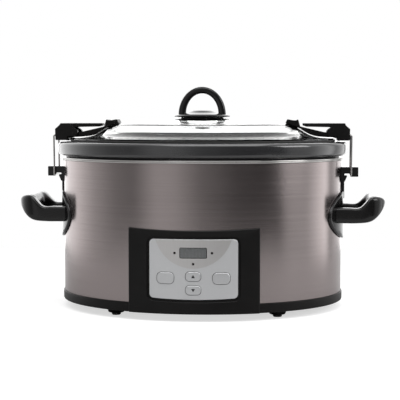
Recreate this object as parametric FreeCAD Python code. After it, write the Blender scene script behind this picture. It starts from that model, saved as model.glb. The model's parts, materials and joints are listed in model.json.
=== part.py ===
import FreeCAD, Part
import math
import os
from FreeCAD import Vector

# Oval slow cooker with a lift-out crock, a glass lid, two over-centre lid latches and a push-button panel.
# Millimetres, +Z up, the front faces -Y, origin on the ground under the middle of the oval.
# Oval pieces are turned about Z at their half width, then squeezed in Y to the plan ratio.

# overall sizes
wrap_width = 354.0          # steel wrap, side to side
wrap_depth = 280.0          # steel wrap, front to back
skirt_bottom = 9.0          # underside of the base skirt above the ground
wrap_bottom = 20.6          # lower edge of the steel wrap
wrap_top = 186.0            # upper edge of the steel wrap
handle_reach = 54.0         # side handle, from the wrap outwards
top_handle_rise = 39.5      # lid handle, above the top of the glass

# walls and clearances
sheet = 1.0                 # steel wrap
plastic = 2.5               # moulded shells
pan_sheet = 1.2             # heating pan
crock_wall = 8.0
crock_floor = 10.0
glass_wall = 3.2
fit = 0.25                  # between fixed pieces that face each other
run = 0.06                  # radial, pins that turn
slide_gap = 0.35            # beside buttons
crock_gap = 2.0             # crock to heating pan

plan_ratio = wrap_depth / wrap_width
wrap_r = wrap_width / 2

# crock and pan
bead = 3.5                  # height of the rolled bead on top of the wrap
bead_out = 4.0              # how far the bead stands out past the wrap
pan_top_inset = 9.0         # pan mouth inside the wrap
pan_taper = 17.0            # how much narrower the pan is at its floor
pan_floor_z = 58.0
rim_out = 7.5               # crock rim past the wrap
rim_height = 17.5
rim_seat = 1.2              # flange under the crock rim
lid_inset = 17.5            # edge of the glass inside the rim's widest line

# lid
dome_height = 28.8          # top of the glass above the underside of its edge
gasket_height = 0.9         # between the rim of the crock and the glass
gasket_wall = 1.6
knob_disc_r = 36.5
knob_arch_r = 30.5
knob_band = 9.0
knob_depth = 16.0

# latches, on the +X side; the other side is mirrored
lever_pin_r = 1.75
bail_pin_r = 1.25
wire_r = 1.1
bail_half = 16.0            # wire legs from the middle of the latch
lever_half = 19.5
tongue_half = 11.6
lever_plate = 4.3
latch_reach = 54.0          # hinge line in from the tip of the lever
leg_slot = 10.8             # slots for the wire legs, inward from the bail pin
bail_drop = 57.9            # crossbar below the bail pin
bail_out = 10.1             # crossbar outside the bail pin
hook_half = 12.5

# control panel
panel_half = 78.0
panel_top = 110.0
panel_proud = 3.0
panel_lip = -6.5            # the surround's inner frame, against its outline
face_half = 52.3
face_low = 27.9
face_high = 97.4
face_corner = 5.0
button_travel = 1.0
display_width = 31.4
display_height = 11.8
display_z = 81.4

# feet and base
foot_x = wrap_width / 2 - 79.0
foot_y = wrap_depth / 2 - 47.0
foot_r = 5.5
pod_r = 12.0
foot_height = 3.0
bottom_plate_r = wrap_width / 2 - 51.0

O = Vector(0, 0, 0)
UP = Vector(0, 0, 1)


# helpers
def edges_of(path):
    """Edges along path. A point is a line to it, and a pair of points is an arc through the first one."""
    out = []
    here = path[0]
    for step in path[1:]:
        if isinstance(step[0], tuple):
            out.append(Part.Arc(flat(here), flat(step[0]), flat(step[1])).toShape())
            here = step[1]
        else:
            out.append(Part.makeLine(flat(here), flat(step)))
            here = step
    if here != path[0]:
        out.append(Part.makeLine(flat(here), flat(path[0])))
    return out


def flat(point):
    return Vector(point[0], 0, point[1])


def face_xz(path):
    return Part.Face(Part.Wire(Part.__sortEdges__(edges_of(path))))


def turned(path):
    """A round solid from an outline in (radius, z)."""
    return face_xz(path).revolve(O, UP, 360)


def squeeze(shape):
    matrix = FreeCAD.Matrix()
    matrix.A22 = plan_ratio
    return shape.transformGeometry(matrix)


def oval(path):
    return squeeze(turned(path))


def oval_ring(r_in, r_out, low, high):
    return oval([(r_in, low), (r_out, low), (r_out, high), (r_in, high)])


def oval_disc(r, low, high):
    return squeeze(Part.makeCylinder(r, high - low, Vector(0, 0, low)))


def plan_y(r, x):
    """Front-back distance of the oval of half width r, at x."""
    return r * plan_ratio * math.sqrt(1 - (x / r) ** 2)


def slab(path, low, high):
    """An outline in (x, z) drawn out along Y from low to high."""
    shape = face_xz(path).extrude(Vector(0, high - low, 0))
    shape.translate(Vector(0, low, 0))
    return shape


def box(x0, x1, y0, y1, z0, z1):
    return Part.makeBox(x1 - x0, y1 - y0, z1 - z0, Vector(x0, y0, z0))


def rod(r, start, end):
    start, end = Vector(*start), Vector(*end)
    return Part.makeCylinder(r, (end - start).Length, start, end - start)


def tube(r_in, r_out, start, end):
    return rod(r_out, start, end).cut(rod(r_in, start, end))


def rounded(x0, x1, z0, z1, r):
    """A rounded rectangle outline in (x, z)."""
    k = r * (1 - math.sqrt(0.5))
    return [(x0 + r, z0), (x1 - r, z0), ((x1 - k, z0 + k), (x1, z0 + r)),
            (x1, z1 - r), ((x1 - k, z1 - k), (x1 - r, z1)),
            (x0 + r, z1), ((x0 + k, z1 - k), (x0, z1 - r)),
            (x0, z0 + r), ((x0 + k, z0 + k), (x0 + r, z0))]


def plan_slab(outline, low, high):
    """An outline given in (x, y), drawn out along Z."""
    shape = slab(outline, 0, high - low)
    shape.rotate(O, Vector(1, 0, 0), 90)
    shape.translate(Vector(0, 0, high) if shape.BoundBox.ZMin < -1e-6 else Vector(0, 0, low))
    return shape


def mirrored(shape):
    return shape.mirror(O, Vector(1, 0, 0))


def both(shape):
    return [shape, mirrored(shape)]


def together(shapes):
    return Part.makeCompound(shapes)


def fused(shapes):
    shape = shapes[0]
    for other in shapes[1:]:
        shape = shape.fuse(other)
    return shape.removeSplitter()


def corners(x, y):
    return [(sx * x, sy * y) for sx in (-1, 1) for sy in (-1, 1)]


# housing
bead_top = wrap_top + bead
panel_r = wrap_r + panel_proud
frame_r = wrap_r - 8
skirt_r = wrap_r + 1.5
plate_recess = 1.5          # the bottom plate lies in this step
skirt_floor = skirt_bottom + plate_recess + plastic
pan_r = wrap_r - pan_top_inset
flange_top = wrap_top + 2.0 + rim_seat
screw_x = wrap_r - sheet
handle_z = wrap_top - 68.0
handle_screw_y = 22.0


def pan_radius(z):
    """Inside half width of the heating pan at height z."""
    return pan_r - pan_taper * (wrap_top - z) / (wrap_top - pan_floor_z)


def panel_outline(grow, top):
    dip = 2.5
    half = panel_half + grow
    return [(-half, skirt_bottom - 1), (half, skirt_bottom - 1), (half, top + grow),
            ((0, top + grow - dip), (-half, top + grow))]


def window_outline(grow):
    bow = 1.7
    half, r = face_half + grow, face_corner + grow
    low, high = face_low - grow, face_high + grow
    k = r * (1 - math.sqrt(0.5))
    return [(-half + r, high), (half - r, high), ((half - k, high - k), (half, high - r)),
            (half, low + r), ((half - k, low + k), (half - r, low)),
            ((0, low - bow), (-half + r, low)), ((-half + k, low + k), (-half, low + r)),
            (-half, high - r), ((-half + k, high - k), (-half + r, high))]


def outer_wrap():
    shell = oval_ring(wrap_r - sheet, wrap_r, wrap_bottom, wrap_top)
    shell = shell.cut(slab(panel_outline(panel_lip + 2 * fit, panel_top), -wrap_depth, 0))
    for sx in (-1, 1):
        for y in (-handle_screw_y, handle_screw_y):
            shell = shell.cut(rod(2.2, (sx * (wrap_r - 20), y, handle_z), (sx * (wrap_r + 5), y, handle_z)))
    shell = shell.cut(rod(gland_r + fit, (0, 0, gland_z), (0, wrap_depth, gland_z)))
    return shell


def top_trim_ring():
    out = wrap_r + bead_out
    half = bead / 2
    return oval([(wrap_r - 6, wrap_top), (out - half, wrap_top),
                 ((out, wrap_top + half), (out - half, bead_top)),
                 (wrap_r - 1, bead_top), (wrap_r - 2, wrap_top + 2), (wrap_r - 6, wrap_top + 2)])


def heating_pan():
    low, top = pan_floor_z, flange_top
    mouth, foot = pan_r, pan_radius(pan_floor_z)
    return oval([(0, low - pan_sheet), (foot - 8, low - pan_sheet),
                 ((foot + pan_sheet - 3, low + 1), (foot + pan_sheet, low + 8)),
                 (mouth + pan_sheet, top - rim_seat - 1.5), (mouth + pan_sheet, top - rim_seat),
                 (wrap_r - 2.4, top - rim_seat), (wrap_r - 2.4, top), (mouth, top),
                 (mouth, top - rim_seat - 1.5), (foot, low + 8),
                 ((foot - 3, low + 2.2), (foot - 8, low)), (0, low)])


def base_skirt():
    lip_r = wrap_r - sheet - fit
    step = plate_recess
    wall = oval([(bottom_plate_r - 8, skirt_bottom + step), (bottom_plate_r + fit, skirt_bottom + step),
                 (bottom_plate_r + fit, skirt_bottom), (skirt_r - 2, skirt_bottom),
                 (skirt_r, skirt_bottom + 2), (skirt_r, wrap_bottom - fit), (lip_r, wrap_bottom - fit),
                 (lip_r, wrap_bottom + 6), (lip_r - plastic, wrap_bottom + 6),
                 (lip_r - plastic, skirt_floor), (bottom_plate_r - 8, skirt_floor)])
    for r_in, grow in ((wrap_r, fit), (frame_r - fit, panel_lip + fit)):
        notch = oval_ring(r_in, wrap_r + 20, skirt_bottom - 1, wrap_bottom + 20)
        wall = wall.cut(notch.common(slab(panel_outline(grow, panel_top), -wrap_depth, 0)))
    pods = [Part.makeCone(pod_r - 1.5, pod_r, skirt_bottom - foot_height + 1, Vector(x, y, foot_height))
            for x, y in corners(foot_x, foot_y)]
    wall = fused([wall] + pods)
    for x, y in corners(foot_x, foot_y):
        wall = wall.cut(rod(2.6, (x, y, 0), (x, y, skirt_bottom + 1)))
    for x, y in corners(bottom_screw_x, bottom_screw_y):
        wall = wall.cut(rod(1.3, (x, y, 0), (x, y, 30)))
    return wall


def rubber_feet():
    feet = []
    for x, y in corners(foot_x, foot_y):
        pad = turned([(0, 0), (foot_r - 0.8, 0), (foot_r, 0.8), (foot_r, foot_height), (0, foot_height)])
        stem = Part.makeCylinder(2.5, 5, Vector(0, 0, foot_height))
        foot = fused([pad, stem])
        foot.translate(Vector(x, y, 0))
        feet.append(foot)
    return together(feet)


bottom_screw_x = bottom_plate_r - 42.0
bottom_screw_y = bottom_plate_r * plan_ratio - 33.7


def bottom_plate():
    plate = oval_disc(bottom_plate_r, skirt_bottom + 0.2, skirt_bottom + 1.4)
    for x, y in corners(bottom_screw_x, bottom_screw_y):
        plate = plate.cut(rod(1.7, (x, y, 0), (x, y, 30)))
    slots = [box(-28 + shift, -24 + shift, -20, 20, 0, 30) for shift in (0, 12, 24, 36, 48)]
    return plate.cut(together(slots))


def bottom_screws():
    screws = []
    for x, y in corners(bottom_screw_x, bottom_screw_y):
        head = turned([(0, -1.7), (1.8, -1.7), (3.2, -0.4), (3.2, 0), (0, 0)])
        head.translate(Vector(x, y, skirt_bottom + 0.2))
        screws.append(fused([head, rod(1.25, (x, y, skirt_bottom), (x, y, skirt_bottom + 9))]))
    return together(screws)


# heating and wiring
band_low = 64.0
band_high = 92.0
heater_wall = 1.8


def sloped_sleeve(clear, wall, low, high):
    """A sleeve that follows the pan's outside at a clearance."""
    near = [pan_radius(z) + pan_sheet + clear for z in (low, high)]
    return oval([(near[0], low), (near[0] + wall, low), (near[1] + wall, high), (near[1], high)])


def heater_band():
    band = sloped_sleeve(0.15, heater_wall, band_low + 4, band_high)
    return band.cut(box(-4, 4, 0, wrap_depth, 0, 200))


def insulation_blanket():
    sleeve = sloped_sleeve(heater_wall + 0.6, 4.0, band_low + 2, band_high + 30)
    return sleeve.cut(box(-68, 68, -wrap_depth, 0, 0, 200))


def pan_brackets():
    low, high = skirt_floor, pan_floor_z - pan_sheet
    posts = []
    for x, y in corners(96, 40):
        post = fused([box(x - 7, x + 7, y - 1, y + 1, low, high),
                      box(x - 7, x + 7, y - 1, y + 11, low, low + 2),
                      box(x - 7, x + 7, y - 1, y + 11, high - 2, high)])
        posts.append(post)
    return together(posts)


sensor_seat = 6.0


def temperature_sensor():
    high = pan_floor_z - pan_sheet - 0.2
    return fused([rod(9, (0, 0, high - 3), (0, 0, high)), rod(4, (0, 0, high - 16), (0, 0, high - 3))])


def sensor_spring():
    high = pan_floor_z - pan_sheet - 3.5
    coil_r, pitch, turns, steps = 6.0, 3.2, 4, 12
    angles = [2 * math.pi * i / steps for i in range(turns * steps + 1)]
    curve = Part.BSplineCurve()
    lead = pitch / (2 * math.pi)
    curve.interpolate([Vector(coil_r * math.cos(a), coil_r * math.sin(a), lead * a) for a in angles])
    start = Part.Wire(Part.makeCircle(0.5, curve.value(0), curve.tangent(0)[0]))
    spring = Part.Wire(curve.toShape()).makePipeShell([start], True, False)
    spring.translate(Vector(0, 0, high - 14))
    return spring


def sensor_cup():
    """A cup that holds the spring, on a bent strip from the bottom plate."""
    high = pan_floor_z - pan_sheet - 18.2
    low = high - sensor_seat
    cup = turned([(4.4, low), (9, low), (9, high + 3), (7.6, high + 3), (7.6, high), (4.4, high)])
    arm = box(7.5, 40, -5, 5, low, low + 2)
    leg = box(38, 40, -5, 5, skirt_bottom + 1.5, low + 2)
    return fused([cup, arm, leg])


def thermal_fuse():
    z = pan_floor_z - pan_sheet - 3
    body = rod(2.6, (-58, 12, z), (-42, 12, z))
    return fused([body, rod(0.6, (-66, 12, z), (-34, 12, z))])


def power_board():
    z = skirt_bottom + 16
    board = box(-56, 46, 34, 84, z, z + 1.6)
    legs = [rod(2.5, (x, y, skirt_bottom + 1.4), (x, y, z)) for x in (-50, 40) for y in (40, 78)]
    return fused([board] + legs)


def power_relay():
    z = skirt_bottom + 17.6
    return box(-50, -21, 44, 57, z, z + 16)


def transformer():
    z = skirt_bottom + 17.6
    core = box(-8, 24, 42, 70, z, z + 24)
    coil = box(-4, 20, 38, 74, z + 5, z + 19)
    return fused([core, coil])


gland_r = 6.5
gland_z = 36.0


def cord_gland():
    rear = plan_y(wrap_r, 0)
    body = tube(3.4, gland_r, (0, rear - 8, gland_z), (0, rear + 3, gland_z))
    flange = tube(3.4, gland_r + 3, (0, rear + 0.1, gland_z), (0, rear + 3, gland_z))
    catch = tube(3.4, gland_r + 2, (0, rear - 8, gland_z), (0, rear - 5, gland_z))
    return fused([body, flange, catch])


# control panel
face_r = panel_r - 2.2
button_face_r = face_r + 1.5
window_gap = 0.2
window_edge = -4.0          # opening behind the face plate, against the plate's outline
window_low = face_low - window_edge
window_high = face_high + window_edge
board_depth = 2.86          # front of the board behind the opening's sides
board_y = board_depth - plan_y(face_r - 1.8, face_half + window_edge)
button_spots = {
    "select_button": (-33.0, 51.6, 20.4, 13.4),
    "off_button": (33.0, 51.6, 20.4, 13.4),
    "timer_up_button": (0.0, 53.8, 18.0, 10.8),
    "timer_down_button": (0.0, 37.6, 18.0, 10.8),
}
lamp_spots = [(-22.0, display_z), (22.0, display_z), (0.0, 68.5)]


def front_skin(outline, r_in, r_out):
    """The part of an oval shell that stands in front, inside an (x, z) outline."""
    shell = oval_ring(r_in, r_out, 0, wrap_top)
    return shell.common(slab(outline, -wrap_depth, 0))


def button_outline(spot, grow):
    x, z, w, h = spot
    w, h = w / 2 + grow, h / 2 + grow
    return rounded(x - w, x + w, z - h, z + h, min(w, h) * 0.72)


def control_surround():
    skin = front_skin(panel_outline(0, panel_top), wrap_r + fit, panel_r)
    inner = oval_ring(frame_r, wrap_r + fit + 0.5, skirt_bottom, panel_top)
    inner = inner.common(slab(panel_outline(panel_lip, panel_top), -wrap_depth, 0))
    body = fused([skin, inner])
    body = body.cut(slab([(-200, 0), (200, 0), (200, skirt_bottom), (-200, skirt_bottom)], -wrap_depth, 0))
    pocket = front_skin(window_outline(3.2), face_r - 1.7, wrap_r + 20)
    body = body.cut(pocket)
    body = body.cut(slab(window_outline(window_edge), -wrap_depth, 0))
    half = face_half + window_edge
    front = -plan_y(face_r - 1.8, half)
    tabs = []
    for x, z in screw_spots():
        side = 1 if x > 0 else -1
        x0, x1 = sorted((x - side * 3.2, side * (half + 1.2)))
        end = window_low - 1 if z < face_high / 2 else window_high + 1
        z0, z1 = sorted((z + math.copysign(3.2, z - end), end))
        tabs.append(box(x0, x1, front, board_y - 0.05, z0, z1))
    body = fused([body] + tabs)
    for x, z in screw_spots():
        body = body.cut(rod(1.1, (x, front + 0.6, z), (x, 0, z)))
    return body


def screw_spots():
    x = face_half + window_edge - 3.8
    return [(sx * x, z) for sx in (-1, 1) for z in (window_low + 3.5, window_high - 3.6)]


def control_faceplate():
    plate = front_skin(window_outline(0), face_r - 1.5, face_r)
    for spot in button_spots.values():
        plate = plate.cut(slab(button_outline(spot, slide_gap), -wrap_depth, 0))
    plate = plate.cut(slab(display_outline(window_gap), -wrap_depth, 0))
    for x, z in lamp_spots:
        plate = plate.cut(rod(1.6, (x, -wrap_depth, z), (x, 0, z)))
    return plate


def display_outline(grow):
    w, h = display_width / 2 + grow, display_height / 2 + grow
    return rounded(-w, w, display_z - h, display_z + h, 1.2)


def display_accent():
    depth, half_chord = 34.2, 45.0
    r = (half_chord ** 2 + depth ** 2) / (2 * depth)
    disc = rod(r, (0, -wrap_depth, face_high + r - depth), (0, 0, face_high + r - depth))
    skin = front_skin(window_outline(-0.9), face_r + 0.02, face_r + 0.32).common(disc)
    skin = skin.cut(slab(display_outline(window_gap), -wrap_depth, 0))
    for x, z in lamp_spots:
        skin = skin.cut(rod(1.6, (x, -wrap_depth, z), (x, 0, z)))
    return skin


def display_window():
    front = -plan_y(face_r, display_width / 2)
    return slab(display_outline(0), front, front + 1.4)


def display_module():
    w, h = display_width / 2 + 2.5, display_height / 2 + 2.5
    front = -plan_y(face_r - 1.6, w)
    return box(-w, w, front + 0.3, board_y - 0.05, display_z - h, display_z + h)


def indicator_lenses():
    lamps = []
    for x, z in lamp_spots:
        front = -plan_y(face_r, x) - 0.35
        lamps.append(fused([rod(1.5, (x, front, z), (x, front + 2.6, z)),
                            rod(0.9, (x, front + 2.0, z), (x, board_y - 0.05, z))]))
    return together(lamps)


def button(name):
    x, z, w, h = button_spots[name]
    cap = front_skin(button_outline(button_spots[name], 0), face_r - 1.6, button_face_r)
    flange = front_skin(button_outline(button_spots[name], 1.2), face_r - 2.9, face_r - 1.9)
    neck = front_skin(button_outline(button_spots[name], -0.4), face_r - 2.4, face_r - 1.5)
    back = -plan_y(face_r - 2.9, abs(x))
    stem = rod(1.6, (x, back - 0.6, z), (x, switch_top - button_travel - 0.15, z))
    return fused([cap, neck, flange, stem])


board_wall = 1.6
switch_body = 1.8
switch_top = board_y - switch_body - 0.6


def control_board():
    w = face_half + window_edge - 0.6
    board = box(-w, w, board_y, board_y + board_wall, window_low + 0.7, window_high - 0.8)
    for x, z in screw_spots():
        board = board.cut(rod(1.3, (x, board_y - 5, z), (x, board_y + 5, z)))
    return board


def board_screws():
    back = board_y + board_wall + 0.05
    screws = []
    for x, z in screw_spots():
        head = rod(2.2, (x, back, z), (x, back + 1.4, z))
        screws.append(fused([head, rod(1.05, (x, board_y - 2, z), (x, back, z))]))
    return together(screws)


def tact_switches():
    switches = []
    for x, z, w, h in button_spots.values():
        body = box(x - 3, x + 3, board_y - switch_body, board_y - 0.02, z - 3, z + 3)
        plunger = rod(1.2, (x, switch_top, z), (x, board_y - 0.5, z))
        switches.append(fused([body, plunger]))
    return together(switches)


# side handles and catches
plate_r = wrap_r + 3.2
grip_half = 48.0
gap_half = 32.0
grip_bar = 20.0
arm_low = handle_z - 8.5
arm_high = handle_z + 10.5
grip_top = handle_z + 23.8


def side_handle():
    """The right-hand loop: a flat ring in plan, cut to its side outline."""
    tip = wrap_r + handle_reach
    start = wrap_r - 12
    r = 27.0
    k = r * (1 - math.sqrt(0.5))
    low, high = arm_low - 20, grip_top + 20
    ring = plan_slab([(start, -grip_half), (tip - r, -grip_half),
                      ((tip - k, -grip_half + k), (tip, -grip_half + r)), (tip, grip_half - r),
                      ((tip - k, grip_half - k), (tip - r, grip_half)), (start, grip_half)], low, high)
    inner = tip - grip_bar
    q = 13.0
    j = q * (1 - math.sqrt(0.5))
    hole = plan_slab([(plate_r + 4.5, -gap_half), (inner - q, -gap_half),
                      ((inner - j, -gap_half + j), (inner, -gap_half + q)), (inner, gap_half - q),
                      ((inner - j, gap_half - j), (inner - q, gap_half)), (plate_r + 4.5, gap_half)],
                     low - 10, high + 10)
    side = slab([(start, arm_low), (tip - 38, arm_low), ((tip - 10.5, arm_low + 7.2), (tip, arm_low + 24)),
                 (tip, grip_top - 5), ((tip - 4, grip_top - 1.2), (tip - 12, grip_top)),
                 ((tip - 22, grip_top - 3), (tip - 34, arm_high)), (start, arm_high)],
                -grip_half - 1, grip_half + 1)
    grip = ring.cut(hole).common(side).cut(oval_disc(plate_r + fit, low, high))
    for y in (-handle_screw_y, handle_screw_y):
        grip = grip.cut(rod(1.4, (wrap_r - 20, y, handle_z), (wrap_r + 6.5, y, handle_z)))
    return grip


def catch_plate():
    """Escutcheon on the wrap, with the strut and hook that the wire bail pulls up on."""
    ellipse = Part.Ellipse(O, 62.0, 30.0).toShape()
    patch = Part.Face(Part.Wire([ellipse])).extrude(Vector(0, 0, 60))
    patch.rotate(O, Vector(1, 0, 0), 90)
    patch.rotate(O, UP, 90)
    patch.translate(Vector(wrap_r - 40, 0, handle_z))
    plate = oval_ring(wrap_r + fit, plate_r, 60, wrap_top).common(patch)
    inner, out = wrap_r - 2, wrap_r + 20.8
    neck = wrap_r + 3.5
    side = [(inner, handle_z + 20), (neck, handle_z + 20), (neck, hook_low - 7), (neck + 4, hook_low + 2),
            (bar_x - 4, hook_low + 2), ((bar_x, hook_low + 4.0), (bar_x + 4, hook_low + 2)),
            (bar_x + 5, hook_low), (out, hook_low), (out, hook_high), (inner, hook_high)]
    hook = slab(side, -hook_half, hook_half)
    waist = fused([box(inner - 1, out + 1, -hook_half, hook_half, hook_low - 1.5, hook_high + 1),
                   box(inner - 1, out + 1, -8, 8, handle_z, hook_low)])
    hook = hook.common(waist)
    plate = fused([plate, hook])
    plate = plate.cut(oval_disc(wrap_r + fit, 0, 300))
    for y in (-handle_screw_y, handle_screw_y):
        plate = plate.cut(rod(2.2, (wrap_r - 20, y, handle_z), (wrap_r + 20, y, handle_z)))
    return plate


def handle_screws():
    screws = []
    for y in (-handle_screw_y, handle_screw_y):
        x = plan_x(wrap_r - sheet, abs(y) + 4) - 0.1
        screws.append(fused([rod(4, (x - 2.4, y, handle_z), (x, y, handle_z)),
                             rod(1.3, (x - 1, y, handle_z), (wrap_r + 5.5, y, handle_z))]))
    return together(screws + [mirrored(s) for s in screws])


def plan_x(r, y):
    """Side distance of the oval of half width r, at y."""
    return r * math.sqrt(1 - (y / (r * plan_ratio)) ** 2)


# crock
rim_low = wrap_top + 6.0
rim_top = rim_low + rim_height
rim_r = wrap_r + rim_out


def stoneware_crock():
    mouth = pan_r - crock_gap
    foot = pan_radius(pan_floor_z) - crock_gap
    low = pan_floor_z + 3.5
    inside = mouth - crock_wall
    floor = low + crock_floor
    return oval([(0, low), (foot - 16, low), ((foot - 4, low + 4), (foot, low + 16)),
                 (mouth, flange_top), (wrap_r - 3.5, flange_top), (wrap_r - 2, rim_low),
                 (rim_r - 6, rim_low), ((rim_r - 1.4, rim_low + 4.2), (rim_r, rim_low + 9.5)),
                 ((rim_r - 2.0, rim_top - 3.0), (rim_r - 8, rim_top - 0.6)), (rim_r - 14, rim_top),
                 (inside + 8, rim_top), ((inside + 2.3, rim_top - 2.3), (inside, rim_top - 8)),
                 (inside - 12, floor + 24), ((inside - 19, floor + 7), (inside - 36, floor)), (0, floor)])


# lid
glass_r = rim_r - lid_inset
glass_low = rim_top + gasket_height
glass_top = glass_low + dome_height


def dome_heights():
    """Points (radius, z) on top of the glass: nearly flat, then a shoulder, then a low brim."""
    share = [(1.0, 0.0), (0.93, 0.015), (0.87, 0.055), (0.82, 0.145), (0.778, 0.29), (0.7365, 0.455),
             (0.70, 0.575), (0.66, 0.67), (0.60, 0.747), (0.51, 0.82), (0.36, 0.914), (0.17, 0.98),
             (0.06, 0.997)]
    edge = glass_low + glass_wall
    return [(glass_r * s, edge + (glass_top - edge) * h) for s, h in share]


def dome_curve(drop):
    points = [flat((r, z - drop)) for r, z in dome_heights()] + [flat((0, glass_top - drop))]
    curve = Part.BSplineCurve()
    curve.interpolate(points)
    return curve.toShape()


def dome_solid(drop, low):
    """Everything under the dome's surface, taken down by drop, and above a level."""
    curve = dome_curve(drop)
    r, z = dome_heights()[0]
    lines = [Part.makeLine(flat((0, glass_top - drop)), flat((0, low))),
             Part.makeLine(flat((0, low)), flat((r, low))),
             Part.makeLine(flat((r, low)), flat((r, z - drop)))]
    return squeeze(Part.Face(Part.Wire(Part.__sortEdges__([curve] + lines))).revolve(O, UP, 360))


def lid_glass():
    r, z = dome_heights()[0]
    top, under = dome_curve(0), dome_curve(glass_wall)
    lines = [Part.makeLine(flat((0, glass_top)), flat((0, glass_top - glass_wall))),
             Part.makeLine(flat((r, z - glass_wall)), flat((r, z)))]
    glass = squeeze(Part.Face(Part.Wire(Part.__sortEdges__([top, under] + lines))).revolve(O, UP, 360))
    glass = glass.cut(rod(3.4, (0, 0, 0), (0, 0, 400)))
    for sx in (-1, 1):
        glass = glass.cut(rod(2.6, (sx * post_x, 0, 0), (sx * post_x, 0, 400)))
    return glass


def lid_gasket():
    r = glass_r
    seat, low, lip = rim_top + 0.05, glass_low - 0.05, glass_low + 1.2
    return oval([(r - 5, low), (r - 5, seat), (r + gasket_wall, seat), (r + gasket_wall, lip),
                 (r + 0.1, lip), (r + 0.1, low)])


knob_low = glass_top + 0.6


def lid_handle():
    disc = turned([(0, knob_low), (knob_disc_r - 3, knob_low), (knob_disc_r, knob_low + 1.4),
                   (knob_disc_r - 3.5, knob_low + 4.2), (24, knob_low + 5.4),
                   ((15, knob_low + 8.0), (6, knob_low + 9.0)), (0, knob_low + 9.0)])
    foot = knob_low + 2
    rise = top_handle_rise - (foot - glass_top)
    outer = half_ellipse(knob_arch_r, rise, foot)
    inner = half_ellipse(knob_arch_r - knob_band + 0.3, rise - knob_band - 0.4, foot)
    disc = disc.cut(rod(2.1, (0, 0, knob_low - 1), (0, 0, knob_low + 6)))
    return fused([disc, outer.cut(inner)])


def half_ellipse(half_width, height, foot):
    major, minor = max(half_width, height), min(half_width, height)
    curve = Part.Ellipse(O, major, minor).toShape()
    face = Part.Face(Part.Wire([curve]))
    if height > half_width:
        face.rotate(O, UP, 90)
    solid = face.extrude(Vector(0, 0, knob_depth))
    solid.rotate(O, Vector(1, 0, 0), 90)
    solid.translate(Vector(0, knob_depth / 2, foot))
    return solid.cut(box(-200, 200, -200, 200, foot - 200, foot))


def lid_handle_seal():
    ring = tube(3.4, 27, (0, 0, glass_top - 10), (0, 0, knob_low - 0.02))
    return ring.cut(dome_solid(0, glass_low - 20))


def lid_handle_washer():
    return tube(2.2, 9, (0, 0, glass_top - glass_wall - 1.6), (0, 0, glass_top - glass_wall - 0.25))


def lid_handle_screw():
    low = glass_top - glass_wall - 1.65
    head = turned([(0, low - 2.4), (3.0, low - 2.4), (4.2, low - 1.2), (4.2, low), (0, low)])
    return fused([head, rod(2.0, (0, 0, low), (0, 0, knob_low + 5))])


# latches
lever_z = rim_top + 8.0
lever_x = rim_r - 3.0
bail_x = lever_x - 3.0
bail_z = lever_z + 7.0
bar_x = bail_x + bail_out
bar_z = bail_z - bail_drop
lever_low = lever_z - 6.8
lever_step = lever_z - 1.9
lever_top = lever_z + 14.7
lever_tip = lever_x - latch_reach
post_x = lever_tip - 13.5
bracket_low = lever_z - 3.9
hook_low = bar_z - 1.6
hook_high = bar_z + 10.7


def latch_bracket():
    """Arm on the lid: a post screwed through the glass, a sloping arm, a foot and the hinge tongue."""
    under = lever_top - lever_plate - 0.3
    tongue = slab([(lever_x - 36, bracket_low), (lever_x, bracket_low), (lever_x, lever_z + 3),
                   (lever_x - 22, lever_z + 3), (lever_x - 27, lever_z + 3.6), (lever_tip - 0.8, under),
                   (lever_tip - 6, under + 2.0), (lever_tip - 8, lever_z + 4.6)], -tongue_half, tongue_half)
    round_end = rod(5.5, (lever_x, -tongue_half, lever_z), (lever_x, tongue_half, lever_z))
    lean = 4.0
    post = slab([(lever_tip - 5.5, under + 9.6), (lever_tip - 12.2, under + 8.6),
                 (lever_tip - 19.2, under + 9.8), (lever_tip - 22.4, under + 0.5 - lean),
                 (lever_tip - 20, under - 12), (lever_tip - 8, under - 12)],
                -tongue_half - 1.5, tongue_half + 1.5)
    foot = box(lever_x - 10, lever_x - 6.5, -6, 6, rim_top + 0.5, bracket_low + 1)
    body = fused([tongue, round_end, post, foot])
    body = body.cut(shifted_dome(0.9))
    body = body.cut(rod(1.6, (post_x, 0, 0), (post_x, 0, lever_top - 5)))
    body = body.cut(rod(lever_pin_r, (lever_x, -40, lever_z), (lever_x, 40, lever_z)))
    return body


def shifted_dome(rise):
    solid = dome_solid(0, glass_low - 20)
    solid.translate(Vector(0, 0, rise))
    return solid


def latch_pad():
    pad = tube(2.6, 7.5, (post_x, 0, glass_low), (post_x, 0, lever_top))
    return pad.common(shifted_dome(0.85)).cut(shifted_dome(0.03))


def latch_screw():
    low = lid_height(post_x) - glass_wall - 4.0
    head = rod(5, (post_x, 0, low - 2.4), (post_x, 0, low))
    return fused([head, rod(1.5, (post_x, 0, low), (post_x, 0, lever_top - 5.5))])


def lid_height(x):
    """Height of the top of the glass on the middle line, at x."""
    points = dome_heights()
    for (r0, z0), (r1, z1) in zip(points, points[1:]):
        if r1 <= x <= r0:
            return z0 + (z1 - z0) * (r0 - x) / (r0 - r1)
    return glass_top


def lever_pin():
    end = lever_half - 0.4
    return rod(lever_pin_r - run, (lever_x, -end, lever_z), (lever_x, end, lever_z))


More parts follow.
